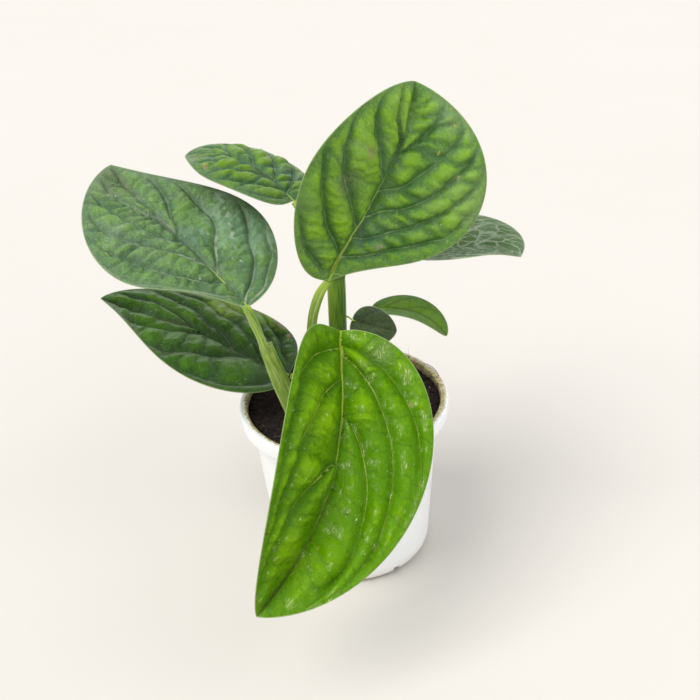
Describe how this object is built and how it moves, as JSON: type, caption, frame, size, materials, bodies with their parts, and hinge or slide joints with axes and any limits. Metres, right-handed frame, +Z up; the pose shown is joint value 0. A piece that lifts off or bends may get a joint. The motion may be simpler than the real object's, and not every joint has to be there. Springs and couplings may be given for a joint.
{
  "type": "potted monstera",
  "caption": "Young climbing foliage plant with broad puckered leaves on arching stalks, rooted in a round white nursery pot filled with dark potting mix.",
  "frame": {"origin": "centre of the pot's flat base, on the surface that it stands on", "axes": "+Z up, +Y to the back, +X to the right as seen from the side where the big leaf hangs over the rim"},
  "size_m": [0.2119, 0.1769, 0.238],
  "materials": {
    "pot_plastic": "moulded, semi-gloss white, stained inside",
    "potting_mix": "crumbly, fibrous, matt",
    "stem": "smooth green stem, satin",
    "stalk": "smooth light green stalk, satin",
    "leaf_bright": "puckered leaf, bright green, waxy",
    "leaf_blue_green": "puckered leaf, blue-green, waxy bloom",
    "leaf_dark": "puckered leaf, dark green, waxy"
  },
  "bodies": {
    "root": {"pot": "pot_plastic", "soil": "potting_mix", "main_stem": "stem", "leaf_top": "leaf_bright", "leaf_front": "leaf_bright", "leaf_upper_left": "leaf_blue_green", "leaf_lower_left": "leaf_dark", "leaf_back_left": "leaf_bright", "leaf_back_right": "leaf_blue_green", "leaf_small_dark": "leaf_dark", "leaf_small_right": "leaf_dark", "stalk_top": "stalk", "stalk_front": "stalk", "stalk_upper_left": "stalk", "stalk_lower_left": "stalk", "stalk_back_left": "stalk", "stalk_back_right": "stalk", "stalk_small_dark": "stalk", "stalk_small_right": "stalk"}
  },
  "joints": []
}
